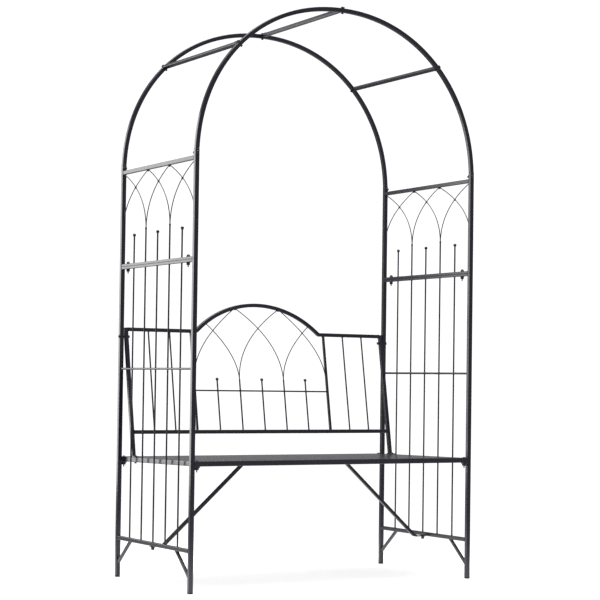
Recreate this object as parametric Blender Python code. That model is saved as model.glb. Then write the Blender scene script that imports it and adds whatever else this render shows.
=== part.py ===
"""Metal garden bench arch: two trellis sides, a double arched roof, a slatted seat and a leaning backrest.

Frame: X along the bench, -Y to the front, +Z up, in metres. The origin is on the floor, under the middle.
"""

import math

import bmesh
import bpy
from mathutils import Vector

X = Vector((1, 0, 0))
Y = Vector((0, 1, 0))
Z = Vector((0, 0, 1))

GAP = 0.0003  # left between two pieces that touch
# The backrest leans out behind the posts, so they stand this far in front of centred.
REAR_OVERHANG = 0.0074
SIDES = (("left", -1), ("right", 1))
ENDS = (("front", -1), ("rear", 1))

# Frame tubes
HALF_W = 0.5735  # post axes, from the middle along X
HALF_D = 0.2873  # post axes, from the middle along Y
POST = 0.0156
POST_INNER = 0.0140
SPIGOT = 0.0134  # narrowed end of a lower post and of a roof arch: both slide in a post
SPIGOT_INNER = 0.0118
SPIGOT_LENGTH = 0.032
RAIL = 0.014
RAIL_INNER = 0.012
CORNER = 0.0012  # corner cut of the tube sections
BORE_CUT = 0.6  # the corner cut inside a tube, as a share of the one outside
TAB_CUT = 0.0004  # corner cut of the flat tabs
WELD_LAP = 0.0005
SHELF_REACH = 0.0095  # how far a post's shelf goes past the seat bolt
FOOT_HEIGHT = 0.004
PLUG_TOP = 0.016  # top of the plug of a foot cap, inside its post
SPLIT_Z = 1.1264  # where the upper frame stands on the lower one
POST_TOP = 1.500
TOP_RAIL_Z = 1.4703
BOTTOM_RAIL_Z = 0.1424
MID_BAR_Z = 0.7554
JOINT_BAR_HEIGHT = 0.009  # each of the two stacked bars at the split
RAIL_HALF = HALF_D - POST / 2 - GAP  # half length of a side rail, between the posts

# Side bars, wires and balls
BAR_R = 0.0030
MID_BAR_R = 0.0038
WIRE_R = 0.0018
WIRE_R_OTHER = 0.00184  # wires that rise the other way, so that no faces coincide at a crossing
BALL_R = 0.0056
BAR_PITCH = 0.0946
BALL_Z = 1.237
SIDE_SPLIT_Z = 1.2560
SIDE_BEND_Z = 1.3817
SIDE_WIRE_TOP = 1.4640
SIDE_PEAK_Y = 0.0845  # where two wires meet under the top rail
SIDE_EDGE_Z = 1.300  # where a wire leaves a post
SIDE_EDGE_BEND = (0.250, 1.391)
WIRE_STEPS = 7

# Roof
ARCH_Z = 1.4703
ARCH_RISE = 0.5665  # a little flatter than a half circle over the post axes
ARCH_FULLNESS = 2.08  # 2 would be an ellipse: more gives fuller shoulders
ARCH_STEPS = 6  # in each stretch between two cross tubes
ARCH_TUBE = 0.0150
ARCH_TUBE_INNER = 0.0134
ARCH_LEG_END = 1.440
ARCH_SHOULDER = 0.0015  # the straight leg ends this far above its post
ARCH_TAPER = 0.004  # and the full tube starts this far above it
PURLIN = 0.0140
PURLIN_INNER = 0.0120
PURLIN_RISE = 0.0026  # cross tube axis above the arch axis
PURLIN_ANGLES = (("left", 135.8), ("crown", 90), ("right", 44.2))
ARCH_BOLT_Z = 1.487
JOINT_BOLT_Y = 0.2375
TAB = 0.003  # thickness of every flat tab
PURLIN_TAB_WIDTH = 0.0108
PURLIN_TAB_LAP = 0.022  # length of a tab that lies on its cross tube
PURLIN_TAB_GAP = 0.0005
PURLIN_NUT_GAP = 0.0009  # the arch bends away under the nut

# Seat
SEAT_TOP = 0.4445  # at the front posts; the seat falls towards the back
SEAT_SLOPE = 0.0139
SEAT_RAIL_HEIGHT = 0.018
SEAT_END_X = 0.555
SLATS = 11
SLAT_WIDTH = 0.042
SLAT_THICK = 0.0025
CROSS_X = 0.191
CROSS_HEIGHT = 0.0140
SLAT_SINK = 0.0005  # the slats are let into the cross tubes
SEAT_HALF = HALF_D - RAIL / 2 - GAP  # half depth between the front and rear rails

# Backrest
BACK_Z = 0.900
BACK_Y = 0.287  # where the backrest plane passes BACK_Z
BACK_LEAN = 0.178
BACK_UPRIGHT_X = 0.5555
BACK_UPRIGHT_TOP = 0.906
BACK_UPRIGHT_END = 0.4395
BACK_RAIL_HALF = BACK_UPRIGHT_X - RAIL / 2 - GAP
BACK_LOWER_Z = 0.527
BACK_CROSSBAR_Z = 0.6795
BACK_ARCH_R = 0.391
BACK_ARCH_TOP = 1.006
BACK_ARCH_HALF = 0.270
BACK_INNER_X = 0.2895
BACK_INNER = 0.009
BACK_SIDE_X = (0.378, 0.465)
BACK_SPLIT_Z = 0.7225
BACK_PITCH = 0.0960
BACK_PEAK_X = 0.0945  # the wires run on past the arched rail, and are trimmed to it
BACK_PEAK_Z = 0.992
BACK_IN_BEND_Z = 0.8681
BACK_OUT_BEND_Z = 0.8407
BACK_OUT_Z = 0.9802
BACK_WIRE_X = 0.2863
BACK_SIDE_BEND_Z = 0.8479
BACK_BOLT_Y = 0.2848
BACK_BOLT_Z = 0.873
BACK_FOOT_BOLT_Y = 0.189
FOOT_PLATE_FRONT = 0.176
FOOT_PLATE_REAR = 0.2155
FOOT_PLATE_WIDTH = 0.017

# Braces and gussets
BRACE = 0.0125
BRACE_TAB_WIDTH = 0.017
BRACE_TAB_Z = 0.1336
BRACE_TOP_TAB_Z = 0.4226
BRACE_LOW = ((0.583, BRACE_TAB_Z), (0.547, BRACE_TAB_Z), (0.5270, 0.1422))
BRACE_HIGH = ((0.2300, 0.4085), (0.2150, BRACE_TOP_TAB_Z), (0.1805, BRACE_TOP_TAB_Z))
GUSSET = 0.010
GUSSET_TOP_Y = 0.180
GUSSET_FOOT_Z = 0.054
GUSSET_SINK = 0.0045  # the gusset starts this far under the axis of its rail

# Fasteners
SHANK_R = 0.0024
HOLE_R = 0.0028
WASHER = 0.0014
SPACER_R = 0.0050
SMALL_HEAD = (0.0050, 0.0030)  # radius, height
SMALL_NUT = (0.0092, 0.0042)  # across corners, height
LEG_HEAD = (0.0060, 0.0036)
BACK_HEAD = (0.0060, 0.0042)
BACK_NUT = (0.0115, 0.0060)
PANEL_HEAD = (0.0066, 0.0085)
PANEL_NUT = (0.0135, 0.0080)
SEAT_NUT = (0.0160, 0.0065)
BIG_NUT = (0.0125, 0.0060)
BIG_WASHER = 0.0085  # radius
SMALL_WASHER = 0.0076
SEAT_WASHER = 0.0098
LEG_TAIL = 0.009  # length of a thread past its nut
PANEL_TAIL = 0.007
SEAT_TAIL = 0.008
SCREW_HEAD = (0.0100, 0.0045)
SCREW_WASHER = 0.0070
FOOT_SCREW_HEAD = (0.0130, 0.0080)
FOOT_SCREW_WASHER = 0.0078
FOOT_SCREW_LENGTH = 0.0105
TOP_SCREW_LENGTH = 0.0100
DRILL_BLIND = 0.006  # lengths of the hole cutters
DRILL_TAB = 0.010
DRILL_SHELF = 0.020
DRILL_TUBE = 0.030
DRILL_RAIL = 0.060

CHARCOAL = (0.030, 0.030, 0.037, 1)
ZINC_BLACK = (0.022, 0.022, 0.026, 1)
RUBBER = (0.012, 0.012, 0.013, 1)


def clear_scene():
    for obj in list(bpy.data.objects):
        bpy.data.objects.remove(obj, do_unlink=True)


def box_section(width, height, cut=CORNER):
    """Eight corners of a square tube section with cut edges."""
    u, v = width / 2, height / 2
    return [
        (u, -v + cut),
        (u, v - cut),
        (u - cut, v),
        (-u + cut, v),
        (-u, v - cut),
        (-u, -v + cut),
        (-u + cut, -v),
        (u - cut, -v),
    ]


def round_section(radius, sides=8):
    turn = 2 * math.pi / sides
    return [
        (radius * math.cos((i + 0.5) * turn), radius * math.sin((i + 0.5) * turn))
        for i in range(sides)
    ]


def hex_section(across_corners):
    """Twelve points on a hexagon: its corners, and the middles of its flats."""
    corners = [
        (across_corners / 2 * math.cos(i * math.pi / 3), across_corners / 2 * math.sin(i * math.pi / 3))
        for i in range(6)
    ]
    points = []
    for i, (u, v) in enumerate(corners):
        next_u, next_v = corners[(i + 1) % 6]
        points += [(u, v), ((u + next_u) / 2, (v + next_v) / 2)]
    return points


def skin(name, rings, loop):
    """One closed body over a row of rings: capped at both ends, or joined end to end into a hollow one."""
    bm = bmesh.new()
    made = [[bm.verts.new(point) for point in ring] for ring in rings]
    pairs = list(zip(made, made[1:]))
    if loop:
        pairs.append((made[-1], made[0]))
    else:
        bm.faces.new(made[0])
        bm.faces.new(made[-1])
    for one, two in pairs:
        for i in range(len(one)):
            j = (i + 1) % len(one)
            bm.faces.new((one[i], one[j], two[j], two[i]))
    bmesh.ops.recalc_face_normals(bm, faces=bm.faces)
    mesh = bpy.data.meshes.new(name)
    bm.to_mesh(mesh)
    bm.free()
    obj = bpy.data.objects.new(name, mesh)
    bpy.context.scene.collection.objects.link(obj)
    return obj


def stack(name, origin, axis, rings, loop=False):
    """Rings of (distance, section) along a straight axis."""
    side = Y if abs(axis.x) > 0.9 else X
    side = (side - axis * side.dot(axis)).normalized()
    other = axis.cross(side)
    placed = [
        [Vector(origin) + axis * distance + side * u + other * v for u, v in section]
        for distance, section in rings
    ]
    return skin(name, placed, loop)


def sweep_rings(path, normal, sections, first, last):
    rings = []
    for i, point in enumerate(path):
        along = (path[i] - path[i - 1] if i else path[1] - path[0]).normalized()
        if i == 0:
            plane = first or along
        elif i == len(path) - 1:
            plane = last or along
        else:
            plane = (along + (path[i + 1] - point).normalized()).normalized()
        side = normal.cross(along)
        ring = []
        for u, v in sections[i]:
            offset = side * u + normal * v
            ring.append(point + offset - along * (offset.dot(plane) / along.dot(plane)))
        rings.append(ring)
    return rings


def sweep(name, path, normal, section, inner=None, first=None, last=None):
    """A section carried along a flat path, mitred at the bends. With an inner section it is an open tube."""
    path = [Vector(point) for point in path]
    rings = sweep_rings(path, normal, per_point(section, path), first, last)
    if inner:
        rings += reversed(sweep_rings(path, normal, per_point(inner, path), first, last))
    return skin(name, rings, bool(inner))


def per_point(section, path):
    """One section for each point of a path: they are given as a list, or all are alike."""
    return section if isinstance(section[0], list) else [section] * len(path)


def ball(name, centre, radius):
    bm = bmesh.new()
    bmesh.ops.create_uvsphere(bm, u_segments=8, v_segments=6, radius=radius)
    bmesh.ops.translate(bm, verts=bm.verts, vec=Vector(centre))
    mesh = bpy.data.meshes.new(name)
    bm.to_mesh(mesh)
    bm.free()
    obj = bpy.data.objects.new(name, mesh)
    bpy.context.scene.collection.objects.link(obj)
    return obj


def drill(origin, axis, length, radius=HOLE_R):
    """A cutter for one bolt hole, centred on its origin."""
    ring = round_section(radius, 8)
    return stack("drill", origin, axis, [(-length / 2, ring), (length / 2, ring)])


def combine(obj, others, operation):
    """Joins the other pieces to this one, or cuts them out of it, and removes them."""
    group = bpy.data.collections.new("operands")
    for other in others:
        group.objects.link(other)
    modifier = obj.modifiers.new("combine", "BOOLEAN")
    modifier.solver = "EXACT"
    modifier.operation = operation
    modifier.operand_type = "COLLECTION"
    modifier.collection = group
    graph = bpy.context.evaluated_depsgraph_get()
    mesh = bpy.data.meshes.new_from_object(obj.evaluated_get(graph))
    obj.modifiers.clear()
    obj.data = mesh
    for other in others:
        bpy.data.objects.remove(other, do_unlink=True)
    bpy.data.collections.remove(group)
    return obj


def weld(obj, others):
    return combine(obj, others, "UNION")


def cut(obj, others):
    return combine(obj, others, "DIFFERENCE")


def shear_seat(obj):
    """The seat falls towards the back."""
    for vertex in obj.data.vertices:
        vertex.co.z -= SEAT_SLOPE * (vertex.co.y + HALF_D)
    return obj


def seat_drop(y):
    return SEAT_SLOPE * (y + HALF_D)


def back_y(z):
    return BACK_Y - BACK_LEAN * (BACK_Z - z)


def lean_back(obj):
    """The backrest is drawn upright and then leaned into its plane."""
    for vertex in obj.data.vertices:
        vertex.co.y += back_y(vertex.co.z)
    return obj


def coat(name, color, roughness, metallic):
    material = bpy.data.materials.new(name)
    material.use_nodes = True
    shader = material.node_tree.nodes["Principled BSDF"]
    shader.inputs["Base Color"].default_value = color
    shader.inputs["Roughness"].default_value = roughness
    shader.inputs["Metallic"].default_value = metallic
    return material


def finish(obj, color=CHARCOAL, roughness=0.42, metallic=0.0):
    obj.data.materials.clear()
    obj.data.materials.append(coat(obj.name + "_finish", color, roughness, metallic))
    obj.data.shade_smooth()
    obj.data.set_sharp_from_angle(angle=math.radians(35))
    return obj


def bend(start, control, end, begin=0.0, steps=WIRE_STEPS):
    """Points of a wire that leaves its start upright and curves over to its end."""
    points = []
    for i in range(steps + 1):
        t = begin + (1 - begin) * i / steps
        points.append(
            tuple(
                (1 - t) ** 2 * a + 2 * t * (1 - t) * b + t * t * c
                for a, b, c in zip(start, control, end)
            )
        )
    return points


def lower_post(name, sx, sy):
    outer = box_section(POST, POST)
    bore = box_section(POST_INNER, POST_INNER, CORNER * BORE_CUT)
    spigot = box_section(SPIGOT, SPIGOT)
    spigot_bore = box_section(SPIGOT_INNER, SPIGOT_INNER, CORNER * BORE_CUT)
    foot = FOOT_HEIGHT + GAP
    neck = SPLIT_Z - GAP / 2
    tip = neck + SPIGOT_LENGTH
    rings = [(foot, outer), (neck, outer), (neck, spigot), (tip, spigot)]
    rings += [(tip, spigot_bore), (neck - 0.003, spigot_bore), (neck - 0.005, bore), (foot, bore)]
    post = stack(name, (sx * HALF_W, sy * HALF_D, 0), Z, rings, loop=True)
    y = sy * HALF_D
    shelf_top = SEAT_TOP - SEAT_RAIL_HEIGHT - seat_drop(y) - GAP
    near = sx * (SEAT_END_X - SHELF_REACH)
    far = sx * (HALF_W - POST / 2 + WELD_LAP)
    path = [(near, y, shelf_top - TAB / 2), (far, y, shelf_top - TAB / 2)]
    weld(post, [sweep("shelf", path, Y, box_section(TAB, RAIL - 0.001, TAB_CUT))])
    holes = [drill((sx * SEAT_END_X, sy * HALF_D, shelf_top), Z, DRILL_SHELF)]
    if sy > 0:
        holes.append(drill((sx * HALF_W, BACK_BOLT_Y, BACK_BOLT_Z), X, DRILL_TUBE))
    return finish(cut(post, holes))


def upper_post(name, sx, sy):
    outer = box_section(POST, POST)
    bore = box_section(POST_INNER, POST_INNER, CORNER * BORE_CUT)
    foot = SPLIT_Z + GAP / 2
    rings = [(foot, outer), (POST_TOP, outer), (POST_TOP, bore), (foot, bore)]
    post = stack(name, (sx * HALF_W, sy * HALF_D, 0), Z, rings, loop=True)
    return finish(cut(post, [drill((sx * HALF_W, sy * HALF_D, ARCH_BOLT_Z), Y, DRILL_TUBE)]))


def side_rail(name, sx, z, height=RAIL, inner=True):
    """A rail of a side frame, from post to post."""
    path = [(sx * HALF_W, -RAIL_HALF, z), (sx * HALF_W, RAIL_HALF, z)]
    bore = box_section(RAIL_INNER, RAIL_INNER, CORNER * BORE_CUT) if inner else None
    return sweep(name, path, X, box_section(height, RAIL), bore)


def side_bars(sx, bottom, top_of):
    """The five upright bars, each with its own top."""
    ring = round_section(BAR_R)
    return [
        stack("bar", (sx * HALF_W, i * BAR_PITCH, 0), Z, [(bottom, ring), (top_of(i), ring)])
        for i in range(-2, 3)
    ]


def lower_grille(name, sx):
    bar_z = SPLIT_Z - GAP / 2 - JOINT_BAR_HEIGHT / 2
    grille = side_rail(name, sx, bar_z, JOINT_BAR_HEIGHT, inner=False)
    pieces = side_bars(sx, BOTTOM_RAIL_Z + RAIL / 2 + GAP, lambda i: bar_z)
    mid = [(sx * HALF_W, -RAIL_HALF, MID_BAR_Z), (sx * HALF_W, RAIL_HALF, MID_BAR_Z)]
    pieces.append(sweep("mid", mid, X, round_section(MID_BAR_R)))
    weld(grille, pieces)
    holes = [drill((sx * HALF_W, s * JOINT_BOLT_Y, bar_z), Z, DRILL_SHELF) for _, s in ENDS]
    return finish(cut(grille, holes))


def side_wires(sx):
    """Six wires of one upper panel: they leave the split bars and the posts, and cross under the top rail."""
    x = sx * HALF_W
    wires = []
    for s in (-1, 1):
        split = s * BAR_PITCH
        for radius, way, end in ((WIRE_R, -s, -s * SIDE_PEAK_Y), (WIRE_R_OTHER, s, s * (RAIL_HALF - 0.002))):
            start = (x, split + way * 0.0004, SIDE_SPLIT_Z - 0.004)
            path = bend(start, (x, split, SIDE_BEND_Z), (x, end, SIDE_WIRE_TOP))
            wires.append(sweep("wire", path, X, round_section(radius, 6)))
        bend_y, bend_z = SIDE_EDGE_BEND
        start, end = (x, s * RAIL_HALF, SIDE_EDGE_Z), (x, s * SIDE_PEAK_Y, SIDE_WIRE_TOP)
        path = bend(start, (x, s * bend_y, bend_z), end)
        wires.append(sweep("wire", path, X, round_section(WIRE_R, 6), first=Y))
    return wires


def upper_grille(name, sx):
    bar_z = SPLIT_Z + GAP / 2 + JOINT_BAR_HEIGHT / 2
    grille = side_rail(name, sx, TOP_RAIL_Z)
    joint_bar = side_rail("joint", sx, bar_z, JOINT_BAR_HEIGHT, inner=False)
    pieces = [joint_bar] + side_bars(sx, bar_z, lambda i: SIDE_SPLIT_Z if i % 2 else BALL_Z)
    pieces += side_wires(sx)
    pieces += [ball("ball", (sx * HALF_W, i * BAR_PITCH, BALL_Z), BALL_R) for i in (-2, 0, 2)]
    weld(grille, pieces)
    holes = [drill((sx * HALF_W, s * JOINT_BOLT_Y, bar_z), Z, DRILL_SHELF) for _, s in ENDS]
    return finish(cut(grille, holes))


def bottom_rail(name, sx):
    """The lowest rail of a side frame, with a slanted gusset down to each post."""
    rail = side_rail(name, sx, BOTTOM_RAIL_Z)
    gussets = []
    for s in (-1, 1):
        start = (sx * HALF_W, s * GUSSET_TOP_Y, BOTTOM_RAIL_Z - GUSSET_SINK)
        path = [start, (sx * HALF_W, s * RAIL_HALF, GUSSET_FOOT_Z)]
        gussets.append(sweep("gusset", path, X, box_section(GUSSET, GUSSET), first=Z, last=Y))
    weld(rail, gussets)
    return finish(cut(rail, [drill((sx * HALF_W, 0, BOTTOM_RAIL_Z - RAIL / 2), Z, DRILL_BLIND)]))


def roof_point(angle, offset, y):
    """(point, outward direction) at an angle of the roof, offset outwards from the arch axis."""
    u, v = math.cos(math.radians(angle)), math.sin(math.radians(angle))
    power = ARCH_FULLNESS
    radius = ((abs(u) / HALF_W) ** power + (v / ARCH_RISE) ** power) ** (-1 / power)
    slope_u = math.copysign(abs(u) ** (power - 1) / HALF_W**power, u)
    slope_v = v ** (power - 1) / ARCH_RISE**power
    outward = Vector((slope_u, 0, slope_v)).normalized()
    return Vector((radius * u, y, ARCH_Z + radius * v)) + outward * offset, outward


def arch_path(y):
    """Straight legs up to the post tops, and a flattened half circle between them."""
    start = math.degrees(math.atan((POST_TOP + ARCH_TAPER - ARCH_Z) / HALF_W))
    stops = [start, PURLIN_ANGLES[2][1], PURLIN_ANGLES[1][1], PURLIN_ANGLES[0][1], 180 - start]
    angles = [start]
    for one, two in zip(stops, stops[1:]):
        angles += [one + (two - one) * i / ARCH_STEPS for i in range(1, ARCH_STEPS + 1)]
    points = [roof_point(angle, 0, y)[0] for angle in angles]
    right = [(HALF_W, y, ARCH_LEG_END), (HALF_W, y, POST_TOP + ARCH_SHOULDER)]
    left = [(-HALF_W, y, POST_TOP + ARCH_SHOULDER), (-HALF_W, y, ARCH_LEG_END)]
    return right + points + left


def roof_arch(name, sy):
    """A bent tube, narrowed at both legs to slide in the posts."""
    y = sy * HALF_D
    path = arch_path(y)
    leg = [box_section(SPIGOT, SPIGOT)] * 2
    leg_bore = [box_section(SPIGOT_INNER, SPIGOT_INNER, CORNER * BORE_CUT)] * 2
    tube = [box_section(ARCH_TUBE, ARCH_TUBE)] * (len(path) - 4)
    tube_bore = [box_section(ARCH_TUBE_INNER, ARCH_TUBE_INNER, CORNER * BORE_CUT)] * (len(path) - 4)
    arch = sweep(name, path, Y, leg + tube + leg, leg_bore + tube_bore + leg_bore)
    holes = [drill((s * HALF_W, y, ARCH_BOLT_Z), Y, DRILL_TUBE) for _, s in SIDES]
    for _, angle in PURLIN_ANGLES:
        point, outward = roof_point(angle, 0, y)
        holes.append(drill(point, outward, DRILL_TUBE))
    return finish(cut(arch, holes))


def purlin(name, angle):
    """A cross tube between the arches, with a flat tab on each of them."""
    half = HALF_D - ARCH_TUBE / 2 - GAP
    centre, outward = roof_point(angle, PURLIN_RISE, 0)
    tube, bore = box_section(PURLIN, PURLIN), box_section(PURLIN_INNER, PURLIN_INNER, CORNER * BORE_CUT)
    rings = [(-half, tube), (half, tube), (half, bore), (-half, bore)]
    placed = []
    across = Y.cross(outward)
    for distance, section in rings:
        placed.append([centre + Y * distance + across * u + outward * v for u, v in section])
    tube = skin(name, placed, loop=True)
    tabs = []
    holes = []
    for s in (-1, 1):
        level = ARCH_TUBE / 2 + PURLIN_TAB_GAP + TAB / 2
        inner, _ = roof_point(angle, level, s * (half - PURLIN_TAB_LAP))
        outer, _ = roof_point(angle, level, s * (HALF_D + ARCH_TUBE / 2))
        tabs.append(sweep("tab", [inner, outer], outward, box_section(PURLIN_TAB_WIDTH, TAB, TAB_CUT)))
        holes.append(drill(roof_point(angle, level, s * HALF_D)[0], outward, DRILL_TAB))
    weld(tube, tabs)
    return finish(cut(tube, holes))


def seat_long_rail(name, sy):
    """The front or rear rail of the seat, between two posts."""
    half = HALF_W - POST / 2 - GAP
    z = SEAT_TOP - SEAT_RAIL_HEIGHT / 2
    path = [(-half, sy * HALF_D, z), (half, sy * HALF_D, z)]
    outer = box_section(SEAT_RAIL_HEIGHT, RAIL)
    bore = box_section(SEAT_RAIL_HEIGHT - 0.002, RAIL_INNER, CORNER * BORE_CUT)
    rail = shear_seat(sweep(name, path, Y, outer, bore))
    holes = [drill((s * SEAT_END_X, sy * HALF_D, SEAT_TOP), Z, DRILL_RAIL) for _, s in SIDES]
    return finish(cut(rail, holes))


def seat_end_rail(name, sx):
    z = SEAT_TOP - SEAT_RAIL_HEIGHT / 2
    path = [(sx * SEAT_END_X, -SEAT_HALF, z), (sx * SEAT_END_X, SEAT_HALF, z)]
    outer = box_section(SEAT_RAIL_HEIGHT, RAIL)
    bore = box_section(SEAT_RAIL_HEIGHT - 0.002, RAIL_INNER, CORNER * BORE_CUT)
    rail = shear_seat(sweep(name, path, X, outer, bore))
    return finish(cut(rail, [drill((sx * SEAT_END_X, BACK_FOOT_BOLT_Y, SEAT_TOP), Z, DRILL_RAIL)]))


def seat_deck(name):
    """Flat slats along the seat, welded to two cross tubes."""
    half = SEAT_END_X - RAIL / 2 - GAP
    slot = 2 * SEAT_HALF / SLATS
    section = box_section(SLAT_THICK, SLAT_WIDTH, 0.0008)
    z = SEAT_TOP - SLAT_THICK / 2
    slats = []
    for i in range(SLATS):
        y = (i - (SLATS - 1) / 2) * slot
        slats.append(sweep("slat", [(-half, y, z), (half, y, z)], Y, section))
    cross_z = SEAT_TOP - SLAT_THICK + SLAT_SINK - CROSS_HEIGHT / 2
    tubes = []
    for _, s in SIDES:
        path = [(s * CROSS_X, -SEAT_HALF, cross_z), (s * CROSS_X, SEAT_HALF, cross_z)]
        bore = box_section(CROSS_HEIGHT - 0.002, RAIL_INNER, CORNER * BORE_CUT)
        tubes.append(sweep(name, path, X, box_section(CROSS_HEIGHT, RAIL), bore))
    deck = shear_seat(weld(tubes[0], tubes[1:] + slats))
    floor = cross_z - CROSS_HEIGHT / 2 - seat_drop(0)
    return finish(cut(deck, [drill((s * CROSS_X, 0, floor), Z, DRILL_BLIND) for _, s in SIDES]))


def back_upright(name, sx):
    """One end upright of the backrest, with its foot plate on the seat."""
    x = sx * BACK_UPRIGHT_X
    ring = box_section(RAIL, RAIL)
    upright = lean_back(stack(name, (x, 0, 0), Z, [(BACK_UPRIGHT_END, ring), (BACK_UPRIGHT_TOP, ring)]))
    z = SEAT_TOP + GAP + TAB / 2
    path = [(sx * BACK_UPRIGHT_X, FOOT_PLATE_FRONT, z), (sx * BACK_UPRIGHT_X, FOOT_PLATE_REAR, z)]
    foot = shear_seat(sweep("foot", path, X, box_section(TAB, FOOT_PLATE_WIDTH, TAB_CUT)))
    weld(upright, [foot])
    holes = [drill((sx * HALF_W, BACK_BOLT_Y, BACK_BOLT_Z), X, DRILL_RAIL)]
    holes.append(drill((sx * SEAT_END_X, BACK_FOOT_BOLT_Y, SEAT_TOP), Z, DRILL_SHELF))
    return finish(cut(upright, holes))


def back_top_path():
    centre_z = BACK_ARCH_TOP - BACK_ARCH_R
    reach = math.asin(BACK_ARCH_HALF / BACK_ARCH_R)
    steps = 16
    points = [(-BACK_RAIL_HALF, 0, BACK_Z), (-BACK_ARCH_HALF, 0, BACK_Z)]
    for i in range(1, steps):
        angle = -reach + 2 * reach * i / steps
        points.append((BACK_ARCH_R * math.sin(angle), 0, centre_z + BACK_ARCH_R * math.cos(angle)))
    return points + [(BACK_ARCH_HALF, 0, BACK_Z), (BACK_RAIL_HALF, 0, BACK_Z)]


def back_top_rail(name, spare=0.0):
    """The arched top rail. With something to spare it is the cutter that trims the grille to it."""
    size = RAIL + 2 * spare
    return sweep(name, back_top_path(), Y, box_section(size, size))


def back_wires():
    wires = []
    for s in (-1, 1):
        split = s * BACK_PITCH
        start = (split, 0, BACK_SPLIT_Z - 0.004)
        inward = bend(start, (split, 0, BACK_IN_BEND_Z), (-s * BACK_PEAK_X, 0, BACK_PEAK_Z))
        outward = bend(start, (split, 0, BACK_OUT_BEND_Z), (s * BACK_WIRE_X, 0, BACK_OUT_Z))
        side, bent = (s * BACK_WIRE_X, 0, BACK_SPLIT_Z), (s * BACK_WIRE_X, 0, BACK_SIDE_BEND_Z)
        from_side = bend(side, bent, (s * (BACK_PEAK_X + 0.002), 0, BACK_PEAK_Z))
        wires.append(sweep("wire", inward, Y, round_section(WIRE_R if s > 0 else WIRE_R_OTHER, 6)))
        wires.append(sweep("wire", outward, Y, round_section(WIRE_R + 0.00008, 6)))
        wires.append(sweep("wire", from_side, Y, round_section(WIRE_R - 0.00006, 6)))
    return wires


def back_grille(name):
    """Everything that fills the backrest, trimmed to the arched top rail."""
    lower = [(-BACK_RAIL_HALF, 0, BACK_LOWER_Z), (BACK_RAIL_HALF, 0, BACK_LOWER_Z)]
    grille = sweep(name, lower, Y, box_section(RAIL, RAIL))
    thin = round_section(BAR_R)
    square = box_section(BACK_INNER, BACK_INNER)
    pieces = []
    for s in (-1, 1):
        top = BACK_Z - RAIL / 2 + 0.003
        pieces.append(stack("inner", (s * BACK_INNER_X, 0, 0), Z, [(BACK_LOWER_Z, square), (top, square)]))
        for x in BACK_SIDE_X:
            pieces.append(stack("bar", (s * x, 0, 0), Z, [(BACK_LOWER_Z, thin), (top, thin)]))
    for i in range(-2, 3):
        rings = [(BACK_LOWER_Z, thin), (BACK_SPLIT_Z, thin)]
        pieces.append(stack("bar", (i * BACK_PITCH, 0, 0), Z, rings))
    crossbar = [(-BACK_INNER_X, 0, BACK_CROSSBAR_Z), (BACK_INNER_X, 0, BACK_CROSSBAR_Z)]
    pieces.append(sweep("crossbar", crossbar, Y, round_section(BAR_R - 0.0001)))
    pieces += back_wires()
    pieces += [ball("ball", (i * BACK_PITCH, 0, BACK_SPLIT_Z), BALL_R) for i in (-2, 0, 2)]
    weld(grille, pieces)
    cut(grille, [back_top_rail("trim", GAP)])
    return finish(lean_back(drop_scraps(grille)))


def drop_scraps(obj):
    """Removes the wire ends that trimming leaves above the top rail, and keeps the largest piece."""
    bm = bmesh.new()
    bm.from_mesh(obj.data)
    seen = set()
    islands = []
    for start in bm.verts:
        if start in seen:
            continue
        island = [start]
        seen.add(start)
        for vertex in island:
            for edge in vertex.link_edges:
                other = edge.other_vert(vertex)
                if other not in seen:
                    seen.add(other)
                    island.append(other)
        islands.append(island)
    islands.sort(key=len)
    for island in islands[:-1]:
        bmesh.ops.delete(bm, geom=island, context="VERTS")
    bm.to_mesh(obj.data)
    bm.free()
    return obj


def seat_brace(name, sx):
    """A slanted strut with a flattened tab at each end."""
    tab = box_section(TAB, BRACE_TAB_WIDTH, TAB_CUT)
    tube = box_section(BRACE, BRACE)
    points = [(sx * x, 0, z) for x, z in BRACE_LOW + BRACE_HIGH]
    brace = sweep(name, points, Y, [tab, tab, tube, tube, tab, tab])
    spots = [(sx * HALF_W, 0, BRACE_TAB_Z), (sx * CROSS_X, 0, BRACE_TOP_TAB_Z)]
    holes = [drill(spot, Z, DRILL_TAB) for spot in spots]
    return finish(cut(brace, holes))


def foot_cap(name, sx, sy):
    flange = box_section(POST, POST)
    plug = box_section(SPIGOT, SPIGOT)
    rings = [(0, flange), (FOOT_HEIGHT, flange), (FOOT_HEIGHT, plug), (PLUG_TOP, plug)]
    return finish(stack(name, (sx * HALF_W, sy * HALF_D, 0), Z, rings), RUBBER, 0.75)


def bolt(name, seat, into, grip, head=SMALL_HEAD, nut=SMALL_NUT, washer=0.0, tail=0.0, spacer=None):
    """A domed bolt with its nut, as one body. seat is under the head, and into points through the grip."""
    shank = round_section(SHANK_R, 12)
    head_r, head_h = head
    rings = [(-head_h, round_section(head_r * 0.5, 12)), (-head_h * 0.5, round_section(head_r * 0.88, 12))]
    rings += [(0, round_section(head_r, 12)), (0, shank)]
    if spacer:
        collar = round_section(SPACER_R, 12)
        rings += [(spacer[0], shank), (spacer[0], collar), (spacer[1], collar), (spacer[1], shank)]
    rings += [(grip, shank)]
    level = grip
    if washer:
        rings += [(level, round_section(washer, 12)), (level + WASHER, round_section(washer, 12))]
        level += WASHER
    rings += [(level, hex_section(nut[0])), (level + nut[1], hex_section(nut[0]))]
    if tail:
        rings += [(level + nut[1], shank), (level + nut[1] + tail, round_section(SHANK_R * 0.8, 12))]
    return finish(stack(name, seat, into.normalized(), rings), ZINC_BLACK, 0.35, 0.6)


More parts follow.
